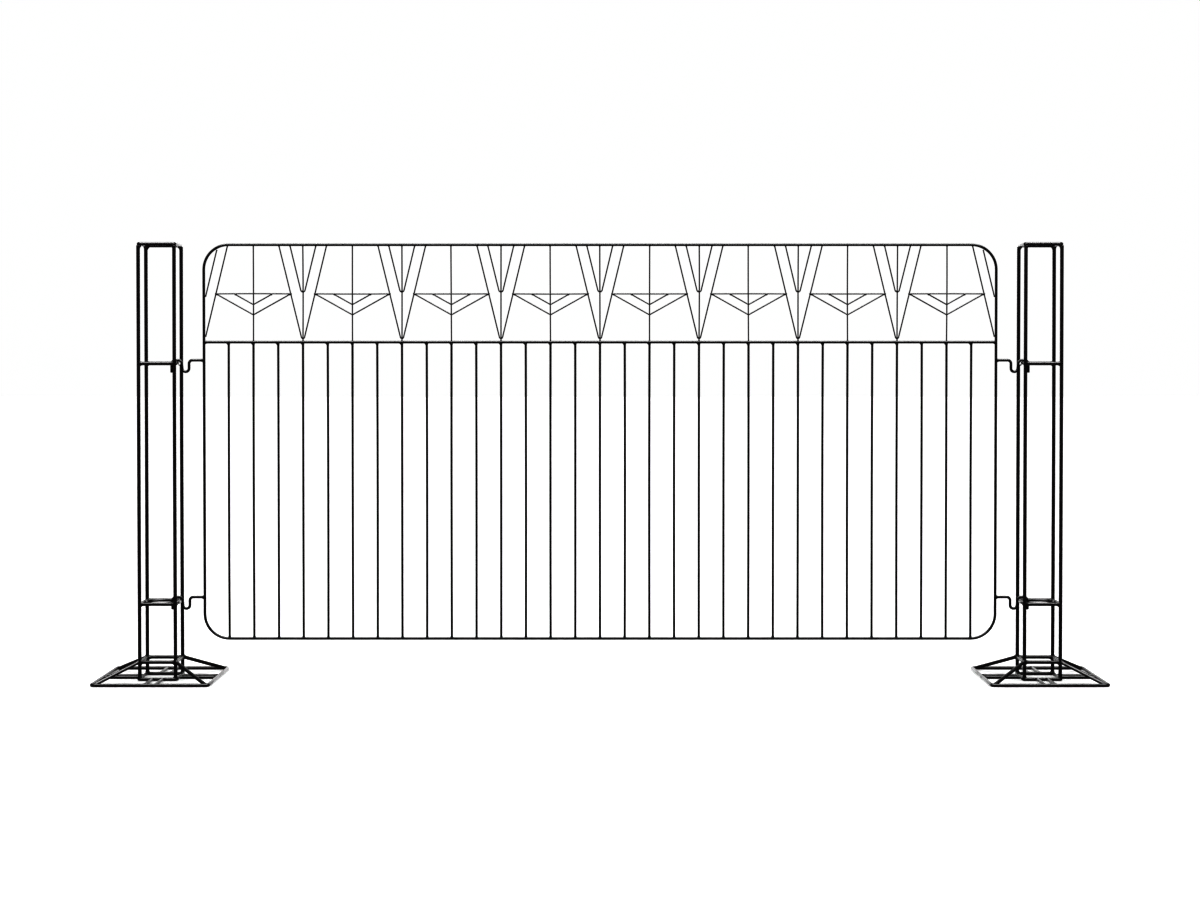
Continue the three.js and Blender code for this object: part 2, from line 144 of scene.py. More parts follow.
# %% [markdown]
# ## A rod is a circle carried along a path
#
# Blender could sweep a curve object with a bevel, but the weld fillets need a radius that changes
# round the ring as well as along the rod. So the tube is worked out as one grid: one direction runs
# along the path, the other round the section. At every station two arrows stand square to the path,
# and the ring's points are sums of those arrows times the cosine and sine of the ring angle.
#
# A weld fillet is the same tube made fatter near its end. It fades with the square of the distance,
# like the hollow of a bead, and it is fattest along the neighbour that the rod is welded to.


# %% Paths
def unit(vectors):
    """Each vector divided by its length."""
    return vectors / np.linalg.norm(vectors, axis=-1, keepdims=True)


def bent(corners, radii, step=STEP):
    """Straight runs between corners, each inner corner an arc: a point of the arc is its start plus
    radius times sine along the arriving run and radius times (1 - cosine) sideways."""
    corners = np.asarray(corners, float)
    runs = unit(np.diff(corners, axis=0))
    radii = np.broadcast_to(radii, len(corners) - 2)
    stretches = [corners[:1]]
    for corner, arriving, leaving, radius in zip(corners[1:-1], runs[:-1], runs[1:], radii):
        turn = math.acos(np.clip(arriving @ leaving, -1, 1))
        sideways = unit(leaving - (leaving @ arriving) * arriving)
        angle = np.linspace(0, turn, max(3, math.ceil(turn / step) + 1))[:, None]
        start = corner - arriving * radius * math.tan(turn / 2)
        stretches.append(start + radius * (np.sin(angle) * arriving + (1 - np.cos(angle)) * sideways))
    stretches.append(corners[-1:])
    return np.vstack(stretches)


NEAR_WELD = np.array([0, 0.08, 0.2, 0.35, 0.55, 0.78, 1.0])  # stations within a weld's reach


def straight(start, end, reach, parts=6):
    """Stations between two points, crowded within reach of each end where a weld will swell."""
    start, end = np.asarray(start, float), np.asarray(end, float)
    near = NEAR_WELD * reach / np.linalg.norm(end - start)
    middle = np.linspace(near[-1], 1 - near[-1], parts + 1)[1:-1]
    share = np.concatenate([near, middle, 1 - near[::-1]])[:, None]
    return start + share * (end - start)


def bowed(path, sideways, amount):
    """The path pushed sideways by amount times the sine of the share of its length."""
    along = np.linalg.norm(path - path[0], axis=1)
    return path + np.sin(np.pi * along / along[-1])[:, None] * sideways * amount


corner = bent([X, 0 * X, Y], HOOP_BEND)
print("a square corner of the hoop takes", len(corner) - 2, "stations")


# %% Faces over a grid of points
def grid_surface(points, mask, closed, ends):
    """Joins a grid of rings with four-sided faces, and closes open ends with a fan to a middle
    point. If the signed volume comes out negative, every face is turned round."""
    rows, ring = points.shape[:2]
    number = np.arange(rows * ring).reshape(rows, ring)
    near, far = (number, np.roll(number, -1, axis=0)) if closed else (number[:-1], number[1:])
    quads = np.stack([near, np.roll(near, -1, 1), np.roll(far, -1, 1), far], -1).reshape(-1, 4)
    vertices = points.reshape(-1, 3)
    mask = mask.reshape(-1)
    fans = np.zeros((0, 3), int)
    if not closed:
        start, finish = len(vertices), len(vertices) + 1
        vertices = np.vstack([vertices, ends])
        mask = np.append(mask, [mask[0], mask[-1]])
        first, last = number[0], number[-1]
        fans = np.vstack([
            np.stack([np.roll(first, -1), first, np.full(ring, start)], -1),
            np.stack([last, np.roll(last, -1), np.full(ring, finish)], -1),
        ])
    a, b, c = (vertices[quads[:, k]] for k in (0, 1, 2))
    d = vertices[quads[:, 3]]
    middle = vertices.mean(0)
    volume = np.einsum("ij,ij->i", np.cross(b - a, d - a), a - middle).sum()
    volume += np.einsum("ij,ij->i", np.cross(d - c, b - c), c - middle).sum()
    if volume < 0:
        quads, fans = quads[:, ::-1], fans[:, ::-1]
    return {"vertices": vertices, "quads": quads, "fans": fans, "mask": mask}


# %% The tube surface
def weld(reach, *ways):
    """A fillet at a rod's end: how far it reaches along the rod, and the ways in which it spreads,
    each an arrow as long as the rod grows thicker that way. No two beads are quite the same."""
    return reach * random.uniform(0.9, 1.15), [way * random.uniform(0.8, 1.2) for way in ways]


def both(way):
    """A spread to both sides of a line."""
    return way, -way


def fillet(distance, arrows, bead):
    """Extra radius: (1 - distance / reach) squared, times the sum over all ways of the way's length
    times the squared share of the ring's arrow that points that way. Also gives the weld mask."""
    reach, ways = bead
    fade = np.clip(1 - distance / reach, 0, 1)[:, None] ** 2
    spread = sum(np.linalg.norm(way) * np.clip(arrows @ unit(way), 0, 1) ** 2 for way in ways)
    return fade * spread, np.broadcast_to(fade, arrows.shape[:2])


def tube(path, radius, across, ring=ROD_RING, closed=False, start=None, end=None, bevel=0.0):
    """A circle carried along a path. Point = station + radius (cosine of ring angle times the first
    arrow + sine times the second). The first arrow is square to the path and to across."""
    ahead = np.roll(path, -1, axis=0) if closed else np.vstack([path[1:], path[-1:]])
    behind = np.roll(path, 1, axis=0) if closed else np.vstack([path[:1], path[:-1]])
    arriving = np.linalg.norm(path - behind, axis=1, keepdims=True)
    leaving = np.linalg.norm(ahead - path, axis=1, keepdims=True)
    slope_in = np.divide(path - behind, arriving, out=np.zeros_like(path), where=arriving > 0)
    slope_out = np.divide(ahead - path, leaving, out=np.zeros_like(path), where=leaving > 0)
    tangent = unit(slope_in + slope_out)
    first = unit(np.cross(np.asarray(across, float), tangent))
    second = np.cross(tangent, first)
    angle = np.linspace(0, 2 * np.pi, ring, endpoint=False)
    arrows = first[:, None] * np.cos(angle)[:, None] + second[:, None] * np.sin(angle)[:, None]
    thick = np.full(arrows.shape[:2], radius)
    mask = np.zeros(arrows.shape[:2])
    along = np.concatenate([[0], np.cumsum(leaving[:-1, 0])])
    for bead, distance in ((start, along), (end, along[-1] - along)):
        if bead:
            swell, fade = fillet(distance, arrows, bead)
            thick = thick + swell
            mask = np.maximum(mask, fade)
    if bevel:
        thick[-1] -= bevel
    points = path[:, None] + thick[..., None] * arrows
    return grid_surface(points, mask, closed, (path[0], path[-1]))


sample = tube(straight(-Z, Z, reach=8 * MM), 4 * MM, Y)
print("a straight rod has", len(sample["quads"]) + len(sample["fans"]), "faces")

# %% Weld nuggets
LUMPS = 3  # lumps round a nugget
LUMP_SHARE = 0.1


def nugget(middle, half_sizes, rings=8, ring=12):
    """A lump of weld metal: an ellipsoid, its point = middle + half sizes times (sine of latitude
    times cosine and sine of longitude, cosine of latitude), with a small seeded unevenness."""
    latitude = np.linspace(0, np.pi, rings + 2)[1:-1, None]
    longitude = np.linspace(0, 2 * np.pi, ring, endpoint=False)[None]
    shape = np.stack([
        np.sin(latitude) * np.cos(longitude),
        np.sin(latitude) * np.sin(longitude),
        np.cos(latitude) + 0 * longitude,
    ], -1)
    swell = np.sin(LUMPS * longitude + random.uniform(0, 6)) * np.sin(latitude) ** 2
    lumps = 1 + LUMP_SHARE * swell
    half = np.asarray(half_sizes, float)
    points = np.asarray(middle, float) + half * shape * lumps[..., None]
    poles = np.asarray(middle, float) + half * np.array([[0, 0, 1], [0, 0, -1]])
    return grid_surface(points, np.ones(points.shape[:2]), False, poles)


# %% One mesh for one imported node
def piece(node, surfaces, body, slot):
    """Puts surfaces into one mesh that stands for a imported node, rides on its body, and has the coat
    of its slot."""
    offsets = np.cumsum([0] + [len(s["vertices"]) for s in surfaces])
    vertices = np.vstack([s["vertices"] for s in surfaces])
    faces = []
    for surface, offset in zip(surfaces, offsets):
        faces += (surface["quads"] + offset).tolist() + (surface["fans"] + offset).tolist()
    mesh = bpy.data.meshes.new(node + "_rod")
    mesh.from_pydata(vertices.tolist(), [], faces)
    mesh.polygons.foreach_set("use_smooth", np.ones(len(faces), bool))
    beads = mesh.attributes.new("weld", "FLOAT", "POINT")
    beads.data.foreach_set("value", np.concatenate([s["mask"] for s in surfaces]).astype(np.float32))
    mesh.materials.append(coats[slot])
    obj = bpy.data.objects.new(node + "_rod", mesh)
    bpy.context.scene.collection.objects.link(obj)
    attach(obj, body)
    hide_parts(node)
    return obj


# %% [markdown]
# ## Writing a finish as sums
#
# A finish in Blender is a graph of nodes. Dozens of Math nodes are hard to read, so one small class
# wraps a socket and lets Python's own signs add them: `1 - mask` becomes a Subtract node. Every
# other node comes from `add`, which takes the node's type, its settings, and what goes into it.


# %% A small language for node graphs
class Value:
    """A number socket that can be used in sums."""

    def __init__(self, graph, socket):
        self.graph = graph
        self.socket = socket

    def _math(self, operation, *inputs):
        node = self.graph.add("ShaderNodeMath", {"operation": operation}, inputs)
        return Value(self.graph, node.outputs[0])

    def __add__(self, other):
        return self._math("ADD", self, other)

    def __mul__(self, other):
        return self._math("MULTIPLY", self, other)

    def __sub__(self, other):
        return self._math("SUBTRACT", self, other)

    def __rsub__(self, other):
        return self._math("SUBTRACT", other, self)

    __radd__ = __add__
    __rmul__ = __mul__

    def between(self, low, high):
        """0 below low, 1 above high, a smooth step in between."""
        settings = {"interpolation_type": "SMOOTHSTEP"}
        inputs = {"Value": self, "From Min": low, "From Max": high}
        node = self.graph.add("ShaderNodeMapRange", settings, inputs)
        return Value(self.graph, node.outputs["Result"])


class Graph:
    """The node graph of one material or world."""

    def __init__(self, owner):
        owner.use_nodes = True
        self.tree = owner.node_tree
        self.tree.nodes.clear()

    def add(self, kind, settings=None, inputs=()):
        """Makes a node: its settings first, then its inputs, by name or in order."""
        node = self.tree.nodes.new(kind)
        for name, setting in (settings or {}).items():
            setattr(node, name, setting)
        pairs = inputs.items() if isinstance(inputs, dict) else enumerate(inputs)
        for key, given in pairs:
            given = given.socket if isinstance(given, Value) else given
            if isinstance(given, bpy.types.NodeSocket):
                self.tree.links.new(given, node.inputs[key])
            else:
                node.inputs[key].default_value = given
        return node

    def place(self):
        """Object coordinates, and their three numbers."""
        where = self.add("ShaderNodeTexCoord").outputs["Object"]
        parts = self.add("ShaderNodeSeparateXYZ", inputs=[where]).outputs
        return where, [Value(self, part) for part in parts]

    def noise(self, where, scale, detail=2.0, roughness=0.5):
        """A cloud pattern from 0 to 1: scale is lumps per metre."""
        inputs = {"Vector": where, "Scale": scale, "Detail": detail, "Roughness": roughness}
        return Value(self, self.add("ShaderNodeTexNoise", inputs=inputs).outputs["Fac"])

    def attribute(self, name):
        """A number stored at each point of the mesh."""
        return Value(self, self.add("ShaderNodeAttribute", {"attribute_name": name}).outputs["Fac"])

    def mixed(self, mask, one, other):
        """One colour where the mask is 0, the other where it is 1."""
        node = self.add("ShaderNodeMix", {"data_type": "RGBA"}, {0: mask, 6: one, 7: other})
        return node.outputs[2]


# %% [markdown]
# ## Black powder coat
#
# Powder coat is a plastic skin baked onto the steel. It isn't perfectly even: it keeps a fine orange
# peel about a millimetre across, it flows thicker and a little duller over welds, and handling
# leaves faint patches where the gloss differs. Three things carry that here: a bump from noises, a
# roughness that drifts over a hand's width, and a base colour that is never one flat black. Panel
# and posts wear the same coat; the posts' pair of shades is a lighter copy of it, painted light.
#
# Dust settles where the steel stands on the ground, and the coat is rubbed where hook and rail meet,
# so each coat is made by one function with those masks as choices. A number that is the same all
# over, such as the strength of the clear top layer, is set on the shader itself.

# %% Colours and scales of the coat
PANEL_SHADES = (0.0070, 0.0066, 0.0070, 1), (0.0140, 0.0132, 0.0140, 1)  # thick coat, thin coat
# the posts' two blacks: the same coat as the panel's, painted lighter as painted light
POST_SHADES_PAINTED_LIGHTER = (0.0160, 0.0136, 0.0146, 1), (0.0320, 0.0274, 0.0290, 1)
DUST = (0.085, 0.078, 0.068, 1)
STEEL = (0.36, 0.35, 0.34, 1)
PEEL_NOISE = (720.0, 1)  # each noise: lumps per metre, detail, and roughness if it isn't a half
GRAIN_NOISE = (2600.0, 2)
RIPPLE_NOISE = (1300.0, 3, 0.7)
PATCH_NOISE, PATCH_RANGE = (9.0, 4, 0.6), (0.35, 0.70)  # the range in which the noise fades in
DUST_NOISE, DUST_RANGE = (60.0, 5, 0.65), (0.42, 0.72)
SCUFF_NOISE, SCUFF_RANGE = (260.0, 4, 0.7), (0.62, 0.70)
SPECKLE_NOISE, SPECKLE_RANGE = (420.0, 4, 0.7), (0.50, 0.62)
THIN_AT_PATCH, THIN_AT_BEAD = 0.6, 0.3  # how far the coat goes towards its thin shade
DUST_COVER, SCUFF_COVER, WEAR_COVER = 0.55, 0.5, 0.8
DULLER = {"patch": 0.09, "grain": 0.08, "bead": 0.10, "dust": 0.25, "scuff": 0.1, "wear": 0.05}
RELIEF = {"peel": 0.6, "grain": 0.12, "ripple": 2.2}  # shares of the bump's height
DUST_HEIGHT = 11 * MM
RUB_HALF = 5 * MM  # half the width of a rubbed place
RUB_CORE = 2 * MM
RUB_RISE = (-1.6 * MM, -0.4 * MM)  # a rub fades in below its level
RUB_FALL = (0.8 * MM, 2.0 * MM)  # and fades out above it
print("orange peel:", round(1 / PEEL_NOISE[0] / MM, 1), "mm from lump to lump")


# %% The coat as a graph
def powder_coat(name, gloss, shades, dust=False, rub_heights=()):
    """Black coat: gloss is the roughness of a clean place, shades are its two blacks, dust greys
    the lowest rods, and rub_heights are the levels where hook and rail wear through to the steel."""
    material = bpy.data.materials.new(name)
    graph = Graph(material)
    where, (_, y, z) = graph.place()
    patch = graph.noise(where, *PATCH_NOISE).between(*PATCH_RANGE)
    peel = graph.noise(where, *PEEL_NOISE)
    grain = graph.noise(where, *GRAIN_NOISE)
    bead = graph.attribute("weld")
    ripple = graph.noise(where, *RIPPLE_NOISE)
    colour = graph.mixed(patch * THIN_AT_PATCH + bead * THIN_AT_BEAD, *shades)
    rough = gloss + patch * DULLER["patch"] + (grain - 0.5) * DULLER["grain"] + bead * DULLER["bead"]
    metal = 0.0
    if dust:
        low = 1 - z.between(0.0, DUST_HEIGHT)
        settled = low * graph.noise(where, *DUST_NOISE).between(*DUST_RANGE)
        scuff = low * graph.noise(where, *SCUFF_NOISE).between(*SCUFF_RANGE)
        colour = graph.mixed(settled * DUST_COVER, colour, DUST)
        colour = graph.mixed(scuff * SCUFF_COVER, colour, STEEL)
        rough = rough + settled * DULLER["dust"] + scuff * DULLER["scuff"]
    if rub_heights:
        speckle = graph.noise(where, *SPECKLE_NOISE).between(*SPECKLE_RANGE)
        middle = 1 - (y * y).between(RUB_CORE ** 2, RUB_HALF ** 2)
        rub = sum(
            z.between(*(level + edge for edge in RUB_RISE))
            * (1 - z.between(*(level + edge for edge in RUB_FALL)))
            for level in rub_heights
        )
        worn = rub * middle * speckle
        colour = graph.mixed(worn * WEAR_COVER, colour, STEEL)
        metal = worn * WEAR_COVER
        rough = rough + worn * DULLER["wear"]
    bump = graph.add("ShaderNodeBump", inputs={
        "Height": peel * RELIEF["peel"] + grain * RELIEF["grain"] + bead * ripple * RELIEF["ripple"],
        "Strength": 0.32,
        "Distance": 0.12 * MM,
    })
    shader = graph.add("ShaderNodeBsdfPrincipled", inputs={
        "Base Color": colour,
        "Roughness": rough,
        "Metallic": metal,
        "Normal": bump.outputs[0],
        "Specular IOR Level": 0.36,
        "Coat Weight": 0.2,
        "Coat Roughness": 0.1,
    })
    graph.add("ShaderNodeOutputMaterial", inputs={"Surface": shader.outputs[0]})
    return material


# %% The five coats
ring_levels = {level: box_of(f"right_{level}_hook_ring")[2][2] for level in ("upper", "lower")}
arm_levels = {level: box_of(f"hook_{level}_right")[1][2] - HOOP_ROD for level in ("upper", "lower")}
rail_top = ring_levels["upper"] + POST_ROD
coats = {
    "panel_coat": powder_coat("panel black", 0.27, PANEL_SHADES),
    "frieze_wire_coat": powder_coat("frieze wire black", 0.33, PANEL_SHADES),
    "hook_coat": powder_coat("hook black", 0.30, PANEL_SHADES, rub_heights=(rail_top,)),
    "post_coat": powder_coat("post black", 0.24, POST_SHADES_PAINTED_LIGHTER, rub_heights=(rail_top,)),
    "foot_coat": powder_coat("foot black", 0.27, POST_SHADES_PAINTED_LIGHTER, dust=True),
}
print("coats:", ", ".join(coats))

# %% [markdown]
# ## The hoop and the mid rail
#
# One long rod is bent into a rectangle with round corners and closed by a butt weld, and the mid
# rail is welded between its sides. The hoop is a closed path, so it needs no caps. The rail's two
# ends swell up and down the hoop's sides, because that is the way the bead runs.


# %% Hoop and mid rail
MID_RAIL_BEAD = (6 * MM, Z * 1.0 * MM, -Z * 2.6 * MM)


def loop(half_x, half_y, bend, first, second, middle):
    """A closed rectangle with arcs at its corners, drawn in the plane of two directions."""
    signs = [(0, -1), (1, -1), (1, 1), (-1, 1), (-1, -1), (0, -1)]
    corners = [middle + first * a * half_x + second * b * half_y for a, b in signs]
    return bent(corners, bend)[:-1]


hoop_path = loop(HALF, (TOP - BOTTOM) / 2, HOOP_BEND, X, Z, np.array([0, 0, (TOP + BOTTOM) / 2]))
piece("panel_hoop", [tube(hoop_path, HOOP_ROD, Y, closed=True)], "panel", "panel_coat")

rail_end = HALF - HOOP_ROD + BITE
rail_path = straight((-rail_end, 0, MID), (rail_end, 0, MID), reach=7 * MM, parts=24)
ends = {end: weld(*MID_RAIL_BEAD) for end in ("start", "end")}
piece("mid_rail", [tube(rail_path, HOOP_ROD, Y, **ends)], "panel", "panel_coat")
print("hoop stations:", len(hoop_path))

# %% [markdown]
# ## The pickets
#
# Each picket is cut to length and welded at both ends. Thin rod never stays perfectly straight, so
# every picket bows by up to half a millimetre, the amount drawn from a seeded generator: the row
# keeps its rhythm without looking ruled. At the mid rail the welder ran the bead down one side of
# the picket, so that fillet is longer to the left than to the right.

# %% Pickets
PICKET_BOW = 0.55 * MM
PICKET_FOOT_BEAD = (5 * MM, *both(X * 1.5 * MM))
PICKET_TOP_BEAD = (6 * MM, -X * 4.6 * MM, X * 1.1 * MM)
for node in PICKETS:
    low, high, middle = box_of(node)
    thick = (high[0] - low[0]) / 2
    bottom, top = BOTTOM + HOOP_ROD - BITE, MID - HOOP_ROD + BITE
    path = straight((middle[0], 0, bottom), (middle[0], 0, top), reach=6 * MM, parts=10)
    path = bowed(path, X, random.uniform(-PICKET_BOW, PICKET_BOW))
    path = bowed(path, Y, random.uniform(-PICKET_BOW, PICKET_BOW) / 2)
    ends = {"start": weld(*PICKET_FOOT_BEAD), "end": weld(*PICKET_TOP_BEAD)}
    piece(node, [tube(path, thick, Y, **ends)], "panel", "panel_coat")
print("pickets:", len(PICKETS), "of", round(2 * thick / MM, 1), "mm")

# %% [markdown]
# ## The frieze
#
# The frieze repeats every four pickets. A vee, a smaller vee inside it and an upright stand on each
# edge between two bays, and an upright, a cross bar and two chevrons in each bay's middle. All wires
# lie in one plane and meet in small nuggets of weld. Each wire is its own tube, so that it keeps its
# round end in the nugget, and one mesh holds them all, as the welded grille is one piece. The whole
# motif could be cut from one flat outline, but then the wires would have no roundness to catch light.

# %% Wires of the frieze
FRIEZE_TOP = TOP - HOOP_ROD + BITE / 2
FRIEZE_BOTTOM = MID + HOOP_ROD - BITE / 2
BAR_LEVEL = TOP - BAR_DROP
UPRIGHT_LEAN = 1.1 * MM
BAR_BOW = 0.5 * MM
VEE_SQUEEZE = 0.6 * MM
WIRE_BEAD = (2.6 * MM, *both(X * 0.9 * MM))
SIDE_BEAD = (4 * MM, *both(Z * 1.1 * MM))
WIRE_REACH = 3 * MM  # stretch at a wire's end where its stations crowd
WIRE_OUTSIDE = 0.6  # share of the wire's radius that its end keeps out of the hoop's side
JOINT = np.array([2.1, 1.6, 2.1]) * MM  # half sizes of a nugget where wires meet
SMALL, BAR_END, CHEVRON_END, VEE_TIP = 0.9, 1.15, 1.25, 1.4  # sizes of nuggets, times JOINT
CHEVRON_END_DROP = 1.2 * MM  # how far a nugget sits from the place where middle lines meet
CHEVRON_TIP_RISE = 0.6 * MM
VEE_TIP_RISE = 1.5 * MM


def vee_offset(half, level):
    """Sideways place of a vee's arm: its half width at the top rail less slope times the drop."""
    return half - VEE_SLOPE * (TOP - level)


def wire(path, top_weld=True, bottom_weld=True):
    """A frieze wire with a small fillet at the ends that meet a rail."""
    start = weld(*WIRE_BEAD) if top_weld else None
    end = weld(*WIRE_BEAD) if bottom_weld else None
    return tube(path, WIRE, Y, WIRE_RING, start=start, end=end)


SHORT_WELD = np.array([0.0, 0.15, 0.35, 0.6, 1.0])[:, None]  # stations within a wire's fillet


def crowded(path, reach):
    """Adds stations near both ends of a bent path, for the fillets."""
    share = SHORT_WELD * reach
    head = path[0] + share * unit(path[1] - path[0])
    tail = path[-1] + share[::-1] * unit(path[-2] - path[-1])
    return np.vstack([head, path[1:-1], tail])


def vee(middle, half, bend):
    """Two arms that lean to one point below, with a tight round bend instead of the point."""
    shift = random.uniform(-VEE_SQUEEZE, VEE_SQUEEZE)
    reach = vee_offset(half, FRIEZE_TOP)
    foot = TOP - half / VEE_SLOPE
    left, right = ((middle + shift + side * reach, 0, FRIEZE_TOP) for side in (-1, 1))
    return wire(crowded(bent([left, (middle, 0, foot), right], bend, 2 * STEP), WIRE_REACH))


def upright(middle):
    """A wire from rail to rail, a little out of true."""
    lean = random.uniform(-UPRIGHT_LEAN, UPRIGHT_LEAN)
    path = straight((middle + lean, 0, FRIEZE_TOP), (middle, 0, FRIEZE_BOTTOM), WIRE_REACH, 8)
    return wire(bowed(path, X, random.uniform(-UPRIGHT_LEAN, UPRIGHT_LEAN) / 2))


def chevron(middle, half, bend):
    """A shallow vee whose two ends turn up a little more steeply to meet the bar."""
    knee = half - CHEVRON_TURN_UP
    bar_end = (half - CHEVRON_TURN_UP / 2, BAR_LEVEL)
    right = [bar_end, (knee, BAR_LEVEL - CHEVRON_TURN_UP * CHEVRON_SLOPE)]
    line = [(-x, z) for x, z in right] + [(0, BAR_LEVEL - half * CHEVRON_SLOPE)] + right[::-1]
    radii = (CHEVRON_TURN_UP_BEND, bend, CHEVRON_TURN_UP_BEND)
    return wire(bent([(middle + x, 0, z) for x, z in line], radii, 2 * STEP), False, False)


def joint(x, z, size=1.0):
    """A nugget where wires cross, a little wider than the wire and slightly flattened."""
    return nugget((x, 0, z), JOINT * size, rings=6, ring=10)


# %% One bay, and one edge between bays
def bay_motif(middle):
    """The upright, the bar and the two chevrons of a bay, with a nugget at each meeting."""
    half = BAY / 2 - vee_offset(VEE_HALF, BAR_LEVEL)
    bar = straight((middle - half, 0, BAR_LEVEL), (middle + half, 0, BAR_LEVEL), reach=2 * MM)
    bar = bowed(bar, Z, random.uniform(-BAR_BOW, BAR_BOW))
    halves = {"outer": half, "inner": CHEVRON_INNER_HALF}
    surfaces = [upright(middle), wire(bar, False, False)]
    surfaces += [chevron(middle, reach, CHEVRON_BENDS[name]) for name, reach in halves.items()]
    surfaces += [joint(middle + side * half, BAR_LEVEL, BAR_END) for side in (-1, 1)]
    for reach in halves.values():
        end = reach - CHEVRON_TURN_UP / 2
        level = BAR_LEVEL - CHEVRON_END_DROP
        surfaces += [joint(middle + side * end, level, CHEVRON_END) for side in (-1, 1)]
        tip = BAR_LEVEL - reach * CHEVRON_SLOPE + CHEVRON_TIP_RISE
        surfaces.append(joint(middle, tip, SMALL))
    surfaces.append(joint(middle, BAR_LEVEL, SMALL))
    return surfaces


def bay_edge(middle):
    """Two vees, one inside the other, and the upright that both are welded to."""
    vees = ((VEE_HALF, VEE_BEND), (VEE_INNER_HALF, VEE_INNER_BEND))
    surfaces = [vee(middle, half, bend) for half, bend in vees] + [upright(middle)]
    for half, bend in vees:
        lean = math.atan(VEE_SLOPE)
        tip = TOP - half / VEE_SLOPE + bend * (1 / math.sin(lean) - 1)
        surfaces.append(joint(middle, tip + VEE_TIP_RISE, VEE_TIP))
    return surfaces


def half_vee(side, half, top):
    """One arm of a vee whose middle would be the hoop's side."""
    inner = HOOP_ROD + WIRE * WIRE_OUTSIDE
    low = TOP - (half - inner) / VEE_SLOPE
    start, finish = (side * (HALF - vee_offset(half, top)), 0, top), (side * (HALF - inner), 0, low)
    ends = {"start": weld(*WIRE_BEAD), "end": weld(*SIDE_BEAD)}
    return tube(straight(start, finish, WIRE_REACH, 8), WIRE, Y, WIRE_RING, **ends)


frieze = [half_vee(side, VEE_HALF, FRIEZE_TOP) for side in (-1, 1)]
for bay in range(BAYS):
    frieze += bay_motif(-HALF + BAY * (bay + 0.5))
for bay in range(1, BAYS):
    frieze += bay_edge(-HALF + BAY * bay)
piece("frieze_lattice", frieze, "panel", "frieze_wire_coat")

end_top = box_of("end_wire_right")[1][2] + BITE
for side, label in ((-1, "left"), (1, "right")):
    piece(f"end_wire_{label}", [half_vee(side, VEE_END_HALF, end_top)], "panel", "frieze_wire_coat")
print("frieze surfaces:", len(frieze))

# %% [markdown]
# ## The hooks
#
# A hook is one length of rod bent five times: out from the hoop, down and up again in a dip that
# keeps the panel from jumping off, over the post's rail, and down inside the post. The path is a
# line with round corners. Its free end is sawn and lightly bevelled, so the last ring is smaller.


# %% Hooks
HOOK_BEAD = (5.5 * MM, Z * 1.2 * MM, -Z * 3.4 * MM)
HOOK_BEAD_ROOM = 6 * MM  # stretch at the hoop where the hook's stations crowd


def hook_path(side, rail_x, level):
    """The hook's middle line, with x counted from the post's rail towards the panel."""
    dip_side = HOOK_DIP_OFFSET + HOOK_DIP_WIDTH
    line = [
        (HOOK_REACH - HOOP_ROD + BITE, 0), (dip_side, 0), (dip_side, -HOOK_DEPTH),
        (HOOK_DIP_OFFSET, -HOOK_DEPTH), (HOOK_CROWN_EDGE, 0), (-HOOK_TIP_OFFSET, 0),
        (-HOOK_TIP_OFFSET, -HOOK_TIP_DROP),
    ]
    corners = [(side * (rail_x - away), 0, level + rise) for away, rise in line]
    path = bent(corners, HOOK_BENDS, HOOK_STEP)
    head = path[0] + SHORT_WELD * HOOK_BEAD_ROOM * unit(path[1] - path[0])
    last = unit(path[-1] - path[-2])
    return np.vstack([head, path[1:-1], path[-1] - last * TIP_BEVEL, path[-1]])


rail_x = TOWER_X - TOWER_HALF
for level, height in arm_levels.items():
    for side, label in ((-1, "left"), (1, "right")):
        path = hook_path(side, rail_x, height)
        surface = tube(path, HOOP_ROD, Y, start=weld(*HOOK_BEAD), bevel=TIP_BEVEL)
        piece(f"hook_{level}_{label}", [surface], "panel", "hook_coat")
print("hook arms at", [round(height / MM, 1) for height in arm_levels.values()], "mm")

# %% [markdown]
# ## The posts
#
# Four legs stand on a square ring and carry another one. Between them, three squares of short rails
# tie them together; the hook rings also hold a round ring for a pole. Rails meet legs in fillets
# that run up and down the leg, and the two rails of a corner share a bead on the inside.


# %% Legs and plain rings
LEG_FOOT_REACH, LEG_FOOT_IN, LEG_FOOT_OUT = 6 * MM, 2.2 * MM, 1.0 * MM
LEG_TOP_REACH, LEG_TOP_IN = 8 * MM, 5 * MM


def legs(label, x, body):
    """The four legs of one post: at each end the bead spreads towards the post's inside."""
    for depth in ("front", "back"):
        for place in ("inner", "outer"):
            node = f"{label}_leg_{depth}_{place}"
            low, high, middle = box_of(node)
            foot, head = np.append(middle[:2], low[2] - BITE), np.append(middle[:2], high[2] + BITE)
            path = straight(foot, head, reach=8 * MM, parts=12)
            path = bowed(path, X, random.uniform(-ROD_BOW, ROD_BOW))
            inward = [np.sign(x - middle[0]) * X, -np.sign(middle[1]) * Y]
            spread = [way * LEG_FOOT_IN for way in inward] + [-way * LEG_FOOT_OUT for way in inward]
            top_spread = [way * LEG_TOP_IN for way in inward]
            ends = {"start": weld(LEG_FOOT_REACH, *spread), "end": weld(LEG_TOP_REACH, *top_spread)}
            piece(node, [tube(path, POST_ROD, Y, **ends)], body, "post_coat")


def square_ring(node, bend, body, slot):
    """A rod bent into a flat square: its box gives the middle line."""
    low, high, middle = box_of(node)
    half = (high[0] - low[0]) / 2 - POST_ROD
    path = loop(half, half, bend, X, Y, middle)
    piece(node, [tube(path, POST_ROD - CLEAR, Z, closed=True)], body, slot)


# %% Rails between the legs, with or without a pole ring
RAIL_BEAD = (6.5 * MM, Z * 1.4 * MM, -Z * 3.2 * MM)
CORNER_NUGGET = np.array([3.6, 3.6, 3.4]) * MM
CORNER_NUGGET_INSET = 1.6 * MM
POLE_BEAD_HALF = (1.9 * MM, 7.5 * MM, 1.5 * MM)  # through the joint, along it, and up
POLE_BEAD_RISE = 1.7 * MM


